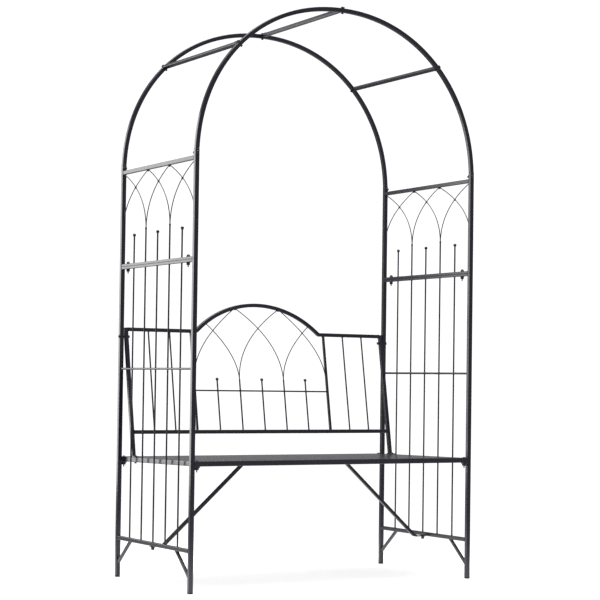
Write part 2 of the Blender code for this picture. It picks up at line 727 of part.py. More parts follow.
def screw(name, seat, into, length, head=SCREW_HEAD, washer=SCREW_WASHER):
    """A hexagon screw with its washer, as one body, driven into a tube from below."""
    rings = [(-WASHER - head[1], hex_section(head[0])), (-WASHER, hex_section(head[0]))]
    rings += [(-WASHER, round_section(washer, 12)), (0, round_section(washer, 12))]
    rings += [(0, round_section(SHANK_R, 12)), (length, round_section(SHANK_R, 12))]
    return finish(stack(name, seat, into, rings), ZINC_BLACK, 0.35, 0.6)


def fasteners():
    for end, sy in ENDS:
        for side, sx in SIDES:
            where = end + "_" + side
            seat = (sx * HALF_W, sy * (HALF_D + POST / 2 + GAP), ARCH_BOLT_Z)
            grip = POST + 2 * GAP
            bolt("arch_leg_bolt_" + where, seat, -sy * Y, grip, LEG_HEAD, BIG_NUT, BIG_WASHER, LEG_TAIL)
            seat = (sx * HALF_W, sy * JOINT_BOLT_Y, SPLIT_Z + GAP / 2 + JOINT_BAR_HEIGHT + GAP)
            grip = 2 * JOINT_BAR_HEIGHT + 3 * GAP
            bolt("panel_bolt_" + where, seat, -Z, grip, PANEL_HEAD, PANEL_NUT, SMALL_WASHER, PANEL_TAIL)
            top = SEAT_TOP - seat_drop(sy * HALF_D) + GAP + 0.0001
            grip = SEAT_RAIL_HEIGHT + TAB + 3 * GAP + 0.0003
            seat = (sx * SEAT_END_X, sy * HALF_D, top)
            bolt("seat_bolt_" + where, seat, -Z, grip, SMALL_HEAD, SEAT_NUT, SEAT_WASHER, SEAT_TAIL)
        for spot, angle in PURLIN_ANGLES:
            level = ARCH_TUBE / 2 + PURLIN_TAB_GAP + TAB + GAP
            point, outward = roof_point(angle, level, sy * HALF_D)
            grip = level + ARCH_TUBE / 2 + PURLIN_NUT_GAP
            bolt("purlin_bolt_" + end + "_" + spot, point, -outward, grip)
    for side, sx in SIDES:
        tab_bottom = BRACE_TAB_Z - TAB / 2 - GAP
        seat = (sx * HALF_W, 0, tab_bottom)
        screw("brace_foot_screw_" + side, seat, Z, FOOT_SCREW_LENGTH, FOOT_SCREW_HEAD, FOOT_SCREW_WASHER)
        tab_bottom = BRACE_TOP_TAB_Z - TAB / 2 - GAP
        screw("brace_top_screw_" + side, (sx * CROSS_X, 0, tab_bottom), Z, TOP_SCREW_LENGTH)
        seat = (sx * (HALF_W + POST / 2 + GAP), BACK_BOLT_Y, BACK_BOLT_Z)
        to_upright = HALF_W + POST / 2 - BACK_UPRIGHT_X - RAIL / 2
        spacer = (POST + 2 * GAP, to_upright)
        grip = to_upright + RAIL + 2 * GAP
        bolt("backrest_post_bolt_" + side, seat, -sx * X, grip, BACK_HEAD, BACK_NUT, spacer=spacer)
        top = SEAT_TOP - seat_drop(BACK_FOOT_BOLT_Y) + TAB + 2 * GAP + 0.0001
        grip = TAB + SEAT_RAIL_HEIGHT + 3 * GAP + 0.0003
        bolt("backrest_foot_bolt_" + side, (sx * SEAT_END_X, BACK_FOOT_BOLT_Y, top), -Z, grip)


def build():
    clear_scene()
    for side, sx in SIDES:
        for end, sy in ENDS:
            where = end + "_" + side
            lower_post("lower_post_" + where, sx, sy)
            upper_post("upper_post_" + where, sx, sy)
            foot_cap("foot_cap_" + where, sx, sy)
        lower_grille("lower_side_grille_" + side, sx)
        upper_grille("upper_side_grille_" + side, sx)
        bottom_rail("bottom_rail_" + side, sx)
        seat_end_rail("seat_end_rail_" + side, sx)
        back_upright("backrest_upright_" + side, sx)
        seat_brace("seat_brace_" + side, sx)
    for end, sy in ENDS:
        roof_arch("arch_" + end, sy)
        seat_long_rail("seat_" + end + "_rail", sy)
    for spot, angle in PURLIN_ANGLES:
        purlin("purlin_" + spot, angle)
    seat_deck("seat_slat_deck")
    finish(lean_back(back_top_rail("backrest_top_rail")))
    back_grille("backrest_grille")
    fasteners()
    for obj in bpy.data.objects:
        obj.location.y = -REAR_OVERHANG


build()
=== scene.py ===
"""Looks for the garden bench arch: fine tubes, wires, welds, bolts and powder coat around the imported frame.

Shapes are drawn in the CAD's own layout, with the posts centred on Y, and moved by SHIFT_Y into the
row frame.
"""

import math

import bmesh
import bpy
from mathutils import Matrix, Vector, noise

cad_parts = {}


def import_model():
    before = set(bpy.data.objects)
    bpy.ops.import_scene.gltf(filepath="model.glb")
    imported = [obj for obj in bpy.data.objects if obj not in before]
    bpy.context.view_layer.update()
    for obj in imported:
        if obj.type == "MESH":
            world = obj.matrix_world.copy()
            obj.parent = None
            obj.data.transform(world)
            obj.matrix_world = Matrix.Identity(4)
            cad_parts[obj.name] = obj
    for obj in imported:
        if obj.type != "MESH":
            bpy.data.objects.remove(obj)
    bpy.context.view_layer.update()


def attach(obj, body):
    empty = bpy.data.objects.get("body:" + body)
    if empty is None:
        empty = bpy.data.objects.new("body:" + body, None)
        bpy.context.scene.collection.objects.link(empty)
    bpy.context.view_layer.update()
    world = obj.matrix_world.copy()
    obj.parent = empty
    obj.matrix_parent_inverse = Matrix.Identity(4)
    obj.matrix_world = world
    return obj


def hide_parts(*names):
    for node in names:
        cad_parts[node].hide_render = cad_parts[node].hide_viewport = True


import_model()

X = Vector((1, 0, 0))
Y = Vector((0, 1, 0))
Z = Vector((0, 0, 1))
SIDES = (("left", -1), ("right", 1))
ENDS = (("front", -1), ("rear", 1))

SHIFT_Y = -0.0074  # the backrest leans out behind the posts

# Frame tubes
HALF_W = 0.5735  # post axes, from the middle along X
HALF_D = 0.2873  # post axes, from the middle along Y
POST = 0.0156
POST_INNER = 0.0140
LEG = 0.0134  # narrowed end of a lower post and of a roof arch
LEG_INNER = 0.0118
LEG_LENGTH = 0.032
RAIL = 0.014
WALL = 0.001
CORNER = 0.0020  # outer corner radius of a tube
INNER_CORNER = 0.0010
EDGE = 0.0003  # softening of a cut tube end
GAP = 0.0003
FOOT_HEIGHT = 0.004
SPLIT_Z = 1.1264
POST_TOP = 1.500
TOP_RAIL_Z = 1.4703
BOTTOM_RAIL_Z = 0.1424
MID_BAR_Z = 0.7554
JOINT_BAR_HEIGHT = 0.009
JOINT_CORNER = 0.0012
RAIL_HALF = HALF_D - POST / 2 - GAP

# Side bars, wires and balls
BARS = range(-2, 3)
BAR_R = 0.0030
MID_BAR_R = 0.0038
WIRE_R = 0.0018
BALL_R = 0.0060
BAR_PITCH = 0.0946
BALL_Z = 1.237
SIDE_SPLIT_Z = 1.2560
SIDE_BEND_Z = 1.3817
SIDE_WIRE_TOP = 1.4640
SIDE_PEAK_Y = 0.0845
SIDE_EDGE_Z = 1.300
SIDE_EDGE_BEND = (0.250, 1.391)
SIDE_CROSSING = (0.1852, 1.4083)  # y and z, where two wires cross
SIDE_MIDDLE_Z = 1.4145  # the crossing in the middle

# Roof
ARCH_Z = 1.4703
ARCH_RISE = 0.5665
ARCH_FULLNESS = 2.08
ARCH_TUBE = 0.0150
ARCH_TUBE_CORNER = 0.0022
ARCH_TAPER = 0.004
ARCH_NECK_RISE = 0.0012
ARCH_NECK_GROWTH = 0.0008
ARCH_STEPS = 144
ARCH_LEG_END = 1.440
ARCH_BOLT_Z = 1.487
JOINT_BOLT_Y = 0.2375
PURLIN = 0.0140
PURLIN_INNER = 0.0120
PURLIN_RISE = 0.0026
PURLIN_ANGLES = (("left", 135.8), ("crown", 90), ("right", 44.2))
TAB = 0.003
PURLIN_TAB_WIDTH = 0.0108
PURLIN_TAB_LAP = 0.022
PURLIN_TAB_GAP = 0.0005
PURLIN_NUT_GAP = 0.0009

# Seat
SEAT_TOP = 0.4445
SEAT_SLOPE = 0.0139
SEAT_RAIL_HEIGHT = 0.018
SEAT_END_X = 0.555
SLATS = 11
SLAT_WIDTH = 0.042
SLAT_THICK = 0.0025
CROSS_X = 0.191
CROSS_HEIGHT = 0.0140
SLAT_SINK = 0.0005
SHELF_REACH = 0.0095  # how far a post's shelf goes past the seat bolt
SEAT_HALF = HALF_D - RAIL / 2 - GAP

# Backrest
BACK_Z = 0.900
BACK_Y = 0.287
BACK_LEAN = 0.178
BACK_UPRIGHT_X = 0.5555
BACK_UPRIGHT_TOP = 0.906
BACK_UPRIGHT_END = 0.4395
BACK_RAIL_HALF = BACK_UPRIGHT_X - RAIL / 2 - GAP
BACK_LOWER_Z = 0.527
BACK_CROSSBAR_Z = 0.6795
BACK_ARCH_R = 0.391
BACK_ARCH_TOP = 1.006
BACK_ARCH_HALF = 0.270
BACK_INNER_X = 0.2895
BACK_INNER = 0.009
BACK_SIDE_X = (0.378, 0.465)
BACK_SPLIT_Z = 0.7225
BACK_PITCH = 0.0960
BACK_BOLT_Y = 0.2848
BACK_BOLT_Z = 0.873
BACK_FOOT_BOLT_Y = 0.189
BACK_PEAK = (0.0945, 0.992)  # x and z of a wire end, past the arched rail that it is trimmed to
BACK_OUT = (0.2860, 0.9802)
BACK_EDGE_X = 0.2865
BACK_EDGE_PEAK_X = 0.0965
BACK_IN_BEND_Z = 0.8681
BACK_OUT_BEND_Z = 0.8407
BACK_EDGE_BEND_Z = 0.8479
BACK_CROSSING = (0.1945, 0.9040)
BACK_MIDDLE_Z = 0.9168
BACK_WELD_X = 0.0940
BACK_FOOT_Z = 0.441  # where an upright meets its foot plate
FOOT_PLATE = (0.176, 0.2155, 0.017)  # front, rear, width

# Braces and gussets
BRACE = 0.0125
BRACE_TAB_WIDTH = 0.017
BRACE_TAB_Z = 0.1336
BRACE_TOP_TAB_Z = 0.4226
BRACE_LOW_TAB = ((0.5830, BRACE_TAB_Z), (0.5500, BRACE_TAB_Z))
BRACE_LOW_NECK = ((0.5400, 0.1351), (0.5300, 0.1396), (0.5200, 0.1485))
BRACE_HIGH_NECK = ((0.2370, 0.4022), (0.2270, 0.4110), (0.2200, 0.4170))
BRACE_HIGH_TAB = ((0.2130, BRACE_TOP_TAB_Z), (0.1805, BRACE_TOP_TAB_Z))
GUSSET = 0.010
GUSSET_TOP_Y = 0.180
GUSSET_FOOT_Z = 0.054
GUSSET_SINK = 0.0045

# Foot caps: (height, width) of the flange and of the plug above it
FLANGE_FOOT = ((0.0, 0.0140), (0.0003, 0.0148), (0.0009, 0.0154))
FLANGE = FLANGE_FOOT + ((0.0016, POST), (0.0036, POST), (FOOT_HEIGHT, 0.0153))
PLUG = ((FOOT_HEIGHT, 0.0132), (0.0150, 0.0130), (0.016, 0.0120))

# Fasteners
SHANK_R = 0.0024
WASHER = 0.0014
RIM = 0.0002  # softening of washers, spacers and heads
SPACER_R = 0.0050
PITCH = 0.0008
SIDES_ROUND = 24
SMALL_HEAD = (0.0050, 0.0030)  # radius, height
SMALL_NUT = (0.0092, 0.0042)  # across corners, height
LEG_HEAD = (0.0060, 0.0036)
BACK_HEAD = (0.0060, 0.0042)
BACK_NUT = (0.0115, 0.0060)
PANEL_HEAD = (0.0066, 0.0085)
PANEL_NUT = (0.0135, 0.0080)
SEAT_NUT = (0.0160, 0.0065)
BIG_NUT = (0.0125, 0.0060)
BIG_WASHER = 0.0085  # radius
SMALL_WASHER = 0.0076
SEAT_WASHER = 0.0098
LEG_TAIL = 0.009  # length of a thread past its nut
PANEL_TAIL = 0.007
SEAT_TAIL = 0.008
SCREW_HEAD = (0.0100, 0.0045)
SCREW_WASHER = 0.0070
FOOT_SCREW_HEAD = (0.0130, 0.0080)
FOOT_SCREW_WASHER = 0.0078
FOOT_SCREW_LENGTH = 0.0105
TOP_SCREW_LENGTH = 0.0100

# Welds round tubes and balls: how far they spread, and how far they climb
RAIL_WELD = (0.0009, 0.0016)
SHELF_WELD = (0.0010, 0.0016)
GUSSET_WELD = (0.0009, 0.0014)
SEAT_WELD = (0.0008, 0.0014)
FOOT_WELD = (0.0010, 0.0018)
INNER_WELD = (0.0009, 0.0015)
BALL_WELD = (0.0007, 0.0016)

# Weld marks on wires and slats: radius, squash, rings, sides
SIDE_EDGE_MARK = (0.0030, 2.2, 8, 12)
SIDE_SPLIT_MARK = (0.0038, 1.5, 8, 14)
SIDE_CROSS_MARK = (0.0042, 1.0, 8, 12)
SIDE_PEAK_MARK = (0.0056, 0.8, 8, 14)
BACK_SPLIT_MARK = (0.0030, 1.6, 8, 14)
BACK_CROSS_MARK = (0.0028, 0.9, 8, 12)
BACK_PEAK_MARK = (0.0036, 0.7, 8, 12)
BACK_BAR_MARK = (0.0032, 0.9, 8, 14)
SLAT_MARK = (0.0026, 0.55, 6, 12)

# Studio
FLOOR_R = 2.2
FADE = (0.85, 1.9)  # the floor is opaque up to the first radius and gone at the second
CAMERA_PLACE = (-3.302, -5.549, 0.717)
CAMERA_TURN = (30.95, 1.61, 0.77)  # yaw, pitch and roll in degrees
LENS = 105.48
LENS_SHIFT = (-0.0045, 0.0538)


# --- sections and bodies ---


def rounded(width, height, radius=CORNER, steps=4):
    """A rounded rectangle, counter-clockwise."""
    points = []
    for corner in range(4):
        su, sv = ((1, -1), (1, 1), (-1, 1), (-1, -1))[corner]
        cu, cv = su * (width / 2 - radius), sv * (height / 2 - radius)
        for i in range(steps + 1):
            a = math.radians(-90 + 90 * corner + 90 * i / steps)
            points.append((cu + radius * math.cos(a), cv + radius * math.sin(a)))
    return points


def circle(radius, sides=16):
    return [
        (radius * math.cos(2 * math.pi * i / sides), radius * math.sin(2 * math.pi * i / sides))
        for i in range(sides)
    ]


def hexagon(across, sides=24):
    """A hexagon with the given distance across corners, sampled at equal angles."""
    points = []
    for i in range(sides):
        a = 2 * math.pi * i / sides
        within = (a % (math.pi / 3)) - math.pi / 6
        r = across / 2 * math.cos(math.pi / 6) / math.cos(within)
        points.append((r * math.cos(a), r * math.sin(a)))
    return points


class Shape:
    """Bodies gathered for one piece."""

    def __init__(self):
        self.verts = []
        self.faces = []

    def skin(self, rings, loop=False):
        base = len(self.verts)
        count = len(rings[0])
        for ring in rings:
            self.verts += [Vector(p) for p in ring]
        last = len(rings)
        for i in range(last if loop else last - 1):
            a, b = base + i * count, base + (i + 1) % last * count
            for j in range(count):
                k = (j + 1) % count
                self.faces.append((a + j, a + k, b + k, b + j))
        if not loop:
            self.faces.append(tuple(range(base, base + count)))
            end = base + (last - 1) * count
            self.faces.append(tuple(range(end, end + count)))
        return self

    def stack(self, origin, axis, rings, loop=False):
        axis = Vector(axis).normalized()
        side = Y if abs(axis.x) > 0.9 else X
        side = (side - axis * side.dot(axis)).normalized()
        other = axis.cross(side)
        origin = Vector(origin)
        placed = [[origin + axis * d + side * u + other * v for u, v in section] for d, section in rings]
        return self.skin(placed, loop)

    def sweep(self, path, normal, section, inner=None, first=None, last=None):
        path = [Vector(p) for p in path]
        rings = sweep_rings(path, normal, per_point(section, path), first, last)
        if inner:
            rings += reversed(sweep_rings(path, normal, per_point(inner, path), first, last))
        return self.skin(rings, bool(inner))

    def ball(self, centre, radius, squash=1.0, rings=12, sides=20):
        stack = []
        for i in range(rings + 1):
            a = -math.pi / 2 + math.pi * (i + 0.02) / (rings + 0.04)
            stack.append((radius * squash * math.sin(a), circle(radius * math.cos(a), sides)))
        return self.stack(centre, Z, stack)

    def bead(self, point, axis, radius, flare=0.0013, height=0.0019, seed=0):
        """A small fillet weld round a bar, where it meets a surface at point and leaves along axis."""
        sides = 18
        stack = []
        for t, share in ((-0.2, 1.0), (0.0, 1.0), (0.16, 0.74), (0.42, 0.40), (0.72, 0.16), (1.0, 0.0)):
            ring = []
            for i in range(sides):
                a = 2 * math.pi * i / sides
                wave = 1 + 0.22 * noise.noise(Vector((3 * math.cos(a), 3 * math.sin(a), seed * 1.7)))
                r = radius + 0.00006 + flare * share * wave
                ring.append((r * math.cos(a), r * math.sin(a)))
            stack.append((height * t, ring))
        return self.stack(point, axis, stack)

    def square_bead(self, point, axis, width, height, flare=0.0012, rise=0.0018, seed=0):
        """The same round a square tube."""
        stack = []
        for t, share in ((-0.2, 1.0), (0.0, 1.0), (0.16, 0.72), (0.42, 0.38), (0.72, 0.14), (1.0, 0.0)):
            wave = 1 + 0.2 * noise.noise(Vector((t * 5, seed * 1.3, 0)))
            grow = 2 * (0.00006 + flare * share * wave)
            stack.append((rise * t, rounded(width + grow, height + grow, CORNER + grow / 2)))
        return self.stack(point, axis, stack)

    def lean(self):
        for v in self.verts:
            v.y += BACK_Y - BACK_LEAN * (BACK_Z - v.z)
        return self

    def slope(self):
        for v in self.verts:
            v.z -= SEAT_SLOPE * (v.y + HALF_D)
        return self

    def add(self, other):
        base = len(self.verts)
        self.verts += other.verts
        self.faces += [tuple(base + i for i in face) for face in other.faces]
        return self

    def piece(self, name, nodes, material, slot, sharp=32):
        """Makes the object, which stands for these CAD nodes."""
        mesh = bpy.data.meshes.new(name)
        mesh.from_pydata([(v.x, v.y + SHIFT_Y, v.z) for v in self.verts], [], self.faces)
        bm = bmesh.new()
        bm.from_mesh(mesh)
        bmesh.ops.recalc_face_normals(bm, faces=bm.faces)
        bm.to_mesh(mesh)
        bm.free()
        mesh.shade_smooth()
        mesh.set_sharp_from_angle(angle=math.radians(sharp))
        mesh.materials.append(material)
        obj = bpy.data.objects.new(name, mesh)
        bpy.context.scene.collection.objects.link(obj)
        normals = obj.modifiers.new("normals", "WEIGHTED_NORMAL")
        normals.keep_sharp = True
        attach(obj, "root")
        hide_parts(*nodes)
        return obj


def per_point(section, path):
    """One section for each point of a path: they are given as a list, or all are alike."""
    return section if isinstance(section[0], list) else [section] * len(path)


def sweep_rings(path, normal, sections, first, last):
    rings = []
    for i, point in enumerate(path):
        along = (path[i] - path[i - 1] if i else path[1] - path[0]).normalized()
        if i == 0:
            plane = first or along
        elif i == len(path) - 1:
            plane = last or along
        else:
            plane = (along + (path[i + 1] - point).normalized()).normalized()
        side = normal.cross(along)
        ring = []
        for u, v in sections[i]:
            offset = side * u + normal * v
            ring.append(point + offset - along * (offset.dot(plane) / along.dot(plane)))
        rings.append(ring)
    return rings


def bend(start, control, end, begin=0.0, steps=28):
    """Points of a wire that leaves its start upright and curves over to its end."""
    points = []
    for i in range(steps + 1):
        t = begin + (1 - begin) * i / steps
        trio = zip(start, control, end)
        points.append(tuple((1 - t) ** 2 * a + 2 * t * (1 - t) * b + t * t * c for a, b, c in trio))
    return points


def lerp_path(a, b, steps):
    a, b = Vector(a), Vector(b)
    return [a.lerp(b, i / steps) for i in range(steps + 1)]


# --- materials ---


def node_material(name):
    material = bpy.data.materials.new(name)
    material.use_nodes = True
    nodes = material.node_tree.nodes
    links = material.node_tree.links
    return material, nodes, links, nodes["Principled BSDF"]


def noise_node(nodes, links, coords, scale, detail=2.0, rough=0.5):
    tex = nodes.new("ShaderNodeTexNoise")
    tex.inputs["Scale"].default_value = scale
    tex.inputs["Detail"].default_value = detail
    tex.inputs["Roughness"].default_value = rough
    links.new(coords, tex.inputs["Vector"])
    return tex.outputs["Fac"]


def ramp(nodes, links, value, low, high, dark, light):
    node = nodes.new("ShaderNodeMapRange")
    node.inputs["From Min"].default_value = low
    node.inputs["From Max"].default_value = high
    node.inputs["To Min"].default_value = dark
    node.inputs["To Max"].default_value = light
    links.new(value, node.inputs["Value"])
    return node.outputs["Result"]


def mix_color(nodes, links, factor, one, two):
    node = nodes.new("ShaderNodeMix")
    node.data_type = "RGBA"
    for socket, value in ((node.inputs[6], one), (node.inputs[7], two)):
        if isinstance(value, tuple):
            socket.default_value = value
        else:
            links.new(value, socket)
    links.new(factor, node.inputs[0])
    return node.outputs[2]


def bumps(nodes, links, shader, height, strength, distance):
    """Raises the surface a little where the height is large."""
    bump = nodes.new("ShaderNodeBump")
    bump.inputs["Strength"].default_value = strength
    bump.inputs["Distance"].default_value = distance
    links.new(height, bump.inputs["Height"])
    links.new(bump.outputs["Normal"], shader.inputs["Normal"])


def powder_coat(name, base, lift, rough, dust_and_sheen):
    """Satin powder coat: an orange-peel skin, fine speckle, slow colour drift, and a paler violet tint on
    upward faces that is partly dust and partly a painted sheen of the light from above.
    """
    material, nodes, links, shader = node_material(name)
    coords = nodes.new("ShaderNodeTexCoord").outputs["Object"]
    drift = noise_node(nodes, links, coords, 9.0, 3.0)
    color = mix_color(nodes, links, ramp(nodes, links, drift, 0.35, 0.65, 0.0, 1.0), base + (1,), lift + (1,))
    speck = noise_node(nodes, links, coords, 1400.0, 1.0)
    speck_mask = ramp(nodes, links, speck, 0.66, 0.74, 0.0, 0.25)
    pale = tuple(min(1.0, c * 1.8 + 0.005) for c in base) + (1,)
    color = mix_color(nodes, links, speck_mask, color, pale)
    normal = nodes.new("ShaderNodeNewGeometry").outputs["Normal"]
    split = nodes.new("ShaderNodeSeparateXYZ")
    links.new(normal, split.inputs[0])
    # Upward faces are blended towards a paler violet grey: partly dust, partly a painted sheen where light
    # falls on the tops.
    up = ramp(nodes, links, split.outputs["Z"], 0.6, 1.0, 0.0, dust_and_sheen)
    patch = noise_node(nodes, links, coords, 26.0, 5.0, 0.62)
    dust_and_sheen_share = nodes.new("ShaderNodeMath")
    dust_and_sheen_share.operation = "MULTIPLY"
    links.new(up, dust_and_sheen_share.inputs[0])
    links.new(ramp(nodes, links, patch, 0.36, 0.70, 0.35, 1.0), dust_and_sheen_share.inputs[1])
    color = mix_color(nodes, links, dust_and_sheen_share.outputs[0], color, (0.19, 0.185, 0.20, 1))
    links.new(color, shader.inputs["Base Color"])
    grain = noise_node(nodes, links, coords, 120.0, 4.0)
    links.new(ramp(nodes, links, grain, 0.3, 0.7, rough - 0.05, rough + 0.06), shader.inputs["Roughness"])
    bumps(nodes, links, shader, noise_node(nodes, links, coords, 420.0, 2.0), 0.05, 0.00020)
    shader.inputs["IOR"].default_value = 1.5
    shader.inputs["Coat Weight"].default_value = 0.25
    shader.inputs["Coat Roughness"].default_value = 0.22
    return material


def black_zinc():
    material, nodes, links, shader = node_material("black_zinc")
    coords = nodes.new("ShaderNodeTexCoord").outputs["Object"]
    patch = noise_node(nodes, links, coords, 300.0, 4.0)
    share = ramp(nodes, links, patch, 0.35, 0.7, 0, 1)
    color = mix_color(nodes, links, share, (0.035, 0.035, 0.04, 1), (0.07, 0.068, 0.07, 1))
    links.new(color, shader.inputs["Base Color"])
    shader.inputs["Metallic"].default_value = 0.55
    links.new(ramp(nodes, links, patch, 0.3, 0.7, 0.30, 0.46), shader.inputs["Roughness"])
    bumps(nodes, links, shader, noise_node(nodes, links, coords, 1500.0, 2.0), 0.15, 0.0001)
    return material


def cap_plastic():
    material, nodes, links, shader = node_material("cap_plastic")
    coords = nodes.new("ShaderNodeTexCoord").outputs["Object"]
    patch = noise_node(nodes, links, coords, 420.0, 3.0)
    share = ramp(nodes, links, patch, 0.35, 0.7, 0, 1)
    color = mix_color(nodes, links, share, (0.012, 0.012, 0.013, 1), (0.022, 0.021, 0.022, 1))
    links.new(color, shader.inputs["Base Color"])
    links.new(ramp(nodes, links, patch, 0.3, 0.7, 0.55, 0.72), shader.inputs["Roughness"])
    bumps(nodes, links, shader, noise_node(nodes, links, coords, 1800.0, 2.0), 0.3, 0.0002)
    return material


FRAME_DARK, FRAME_LIGHT = (0.0070, 0.0066, 0.0150), (0.0095, 0.0090, 0.0190)
# The seat's copy of the frame coat has a paler base and paler tops: a painted sheen for the light that falls
# on the seat.
SEAT_SHEEN_DARK, SEAT_SHEEN_LIGHT = (0.0090, 0.0086, 0.0180), (0.0130, 0.0124, 0.0240)
FRAME_COAT = powder_coat("frame_powder_coat", FRAME_DARK, FRAME_LIGHT, 0.21, dust_and_sheen=0.06)
SEAT_SHEEN_COAT = powder_coat("seat_powder_coat_painted_sheen", SEAT_SHEEN_DARK, SEAT_SHEEN_LIGHT, 0.26, dust_and_sheen=0.14)
ZINC = black_zinc()
PLASTIC = cap_plastic()
STEEL_SLOT = "powder_coated_steel"


# --- side frames ---


def bore_of(height):
    """The inner section of a rail of this height."""
    return rounded(height - 2 * WALL, RAIL - 2 * WALL, INNER_CORNER)


def softened(size):
    """The section at the cut end of a tube."""
    return rounded(size - 2 * EDGE, size - 2 * EDGE, CORNER - EDGE)


def post(name, sx, sy, lower):
    x, y = sx * HALF_W, sy * HALF_D
    shape = Shape()
    outer, bore, soft = rounded(POST, POST), rounded(POST_INNER, POST_INNER, 0.0014), softened(POST)
    if lower:
        foot, neck = FOOT_HEIGHT + GAP, SPLIT_Z - GAP / 2
        spigot, spigot_bore = rounded(LEG, LEG, 0.0016), rounded(LEG_INNER, LEG_INNER, INNER_CORNER)
        tip = neck + LEG_LENGTH
        rings = [(foot, soft), (foot + EDGE, outer), (neck - EDGE, outer), (neck, soft)]
        rings += [(neck, spigot), (tip, spigot), (tip, spigot_bore), (neck - 0.003, spigot_bore)]
        rings += [(neck - 0.005, bore), (foot, bore)]
    else:
        foot = SPLIT_Z + GAP / 2
        rings = [(foot, soft), (foot + EDGE, outer), (POST_TOP - 0.0004, outer), (POST_TOP, soft)]
        rings += [(POST_TOP, bore), (foot, bore)]
    shape.stack((x, y, 0), Z, rings, loop=True)
    if lower:
        shelf_z = SEAT_TOP - SEAT_RAIL_HEIGHT - SEAT_SLOPE * (y + HALF_D) - GAP - TAB / 2
        near, far = sx * (SEAT_END_X - SHELF_REACH), sx * (HALF_W - POST / 2 + 0.0004)
        width = RAIL - 0.001
        shape.sweep([(near, y, shelf_z), (far, y, shelf_z)], Y, rounded(TAB, width, 0.0008, 3))
        face = (sx * (HALF_W - POST / 2), y, shelf_z)
        shape.square_bead(face, (-sx, 0, 0), width, TAB, *SHELF_WELD, sx + sy)
    return shape.piece(name + "_tube", [name], FRAME_COAT, STEEL_SLOT)


def side_rail(shape, sx, z, height, corner, inner=None):
    """A rail of a side frame from post to post, with its welds."""
    x = sx * HALF_W
    shape.sweep([(x, -RAIL_HALF, z), (x, RAIL_HALF, z)], X, rounded(height, RAIL, corner), inner)
    for s in (-1, 1):
        shape.square_bead((x, s * RAIL_HALF, z), (0, -s, 0), RAIL, height, *RAIL_WELD, z * 7 + s)


def bar_welds(shape, sx, z, up):
    for i in BARS:
        shape.bead((sx * HALF_W, i * BAR_PITCH, z), (0, 0, up), BAR_R, seed=i + 5 * sx + z * 10)


def lower_grille(name, sx):
    x = sx * HALF_W
    shape = Shape()
    joint_z = SPLIT_Z - GAP / 2 - JOINT_BAR_HEIGHT / 2
    side_rail(shape, sx, joint_z, JOINT_BAR_HEIGHT, JOINT_CORNER)
    bottom = BOTTOM_RAIL_Z + RAIL / 2 + GAP
    for i in BARS:
        shape.stack((x, i * BAR_PITCH, 0), Z, [(bottom, circle(BAR_R)), (joint_z, circle(BAR_R))])
    bar_welds(shape, sx, bottom, 1)
    bar_welds(shape, sx, joint_z - JOINT_BAR_HEIGHT / 2, -1)
    shape.sweep(lerp_path((x, -RAIL_HALF, MID_BAR_Z), (x, RAIL_HALF, MID_BAR_Z), 8), X, circle(MID_BAR_R))
    for s in (-1, 1):
        shape.bead((x, s * RAIL_HALF, MID_BAR_Z), (0, -s, 0), MID_BAR_R, seed=s)
    for way in (1, -1):
        bar_welds(shape, sx, MID_BAR_Z + way * (MID_BAR_R - 0.0008), way)
    return shape.piece(name + "_bars", [name], FRAME_COAT, STEEL_SLOT)


def side_wires(shape, sx):
    """The crossed wires of an upper panel, with a weld mark where two of them meet."""
    x = sx * HALF_W
    cross_y, cross_z = SIDE_CROSSING
    wire = circle(WIRE_R, 12)
    for s in (-1, 1):
        split = s * BAR_PITCH
        for way, end in ((-s, -s * SIDE_PEAK_Y), (s, s * (RAIL_HALF + 0.001))):
            start = (x, split + way * 0.0003, SIDE_SPLIT_Z - 0.006)
            shape.sweep(bend(start, (x, split, SIDE_BEND_Z), (x, end, SIDE_WIRE_TOP)), X, wire)
        bend_y, bend_z = SIDE_EDGE_BEND
        start, end = (x, s * RAIL_HALF, SIDE_EDGE_Z), (x, s * SIDE_PEAK_Y, SIDE_WIRE_TOP)
        shape.sweep(bend(start, (x, s * bend_y, bend_z), end), X, wire)
        shape.ball((x, s * (RAIL_HALF - 0.0016), SIDE_EDGE_Z + 0.006), *SIDE_EDGE_MARK)
        shape.ball((x, split, SIDE_SPLIT_Z - 0.001), *SIDE_SPLIT_MARK)
        shape.ball((x, s * cross_y, cross_z), *SIDE_CROSS_MARK)
        shape.ball((x, s * SIDE_PEAK_Y, SIDE_WIRE_TOP - 0.0026), *SIDE_PEAK_MARK)
    shape.ball((x, 0, SIDE_MIDDLE_Z), *SIDE_CROSS_MARK)


def upper_grille(name, sx):
    x = sx * HALF_W
    shape = Shape()
    joint_z = SPLIT_Z + GAP / 2 + JOINT_BAR_HEIGHT / 2
    side_rail(shape, sx, joint_z, JOINT_BAR_HEIGHT, JOINT_CORNER)
    side_rail(shape, sx, TOP_RAIL_Z, RAIL, CORNER)
    for i in BARS:
        top = SIDE_SPLIT_Z if i % 2 else BALL_Z
        shape.stack((x, i * BAR_PITCH, 0), Z, [(joint_z, circle(BAR_R)), (top, circle(BAR_R))])
        if not i % 2:
            shape.ball((x, i * BAR_PITCH, BALL_Z), BALL_R)
            shape.bead((x, i * BAR_PITCH, BALL_Z - BALL_R * 0.86), (0, 0, -1), BAR_R, *BALL_WELD, i)
    bar_welds(shape, sx, joint_z + JOINT_BAR_HEIGHT / 2, 1)
    side_wires(shape, sx)
    return shape.piece(name + "_bars", [name], FRAME_COAT, STEEL_SLOT)


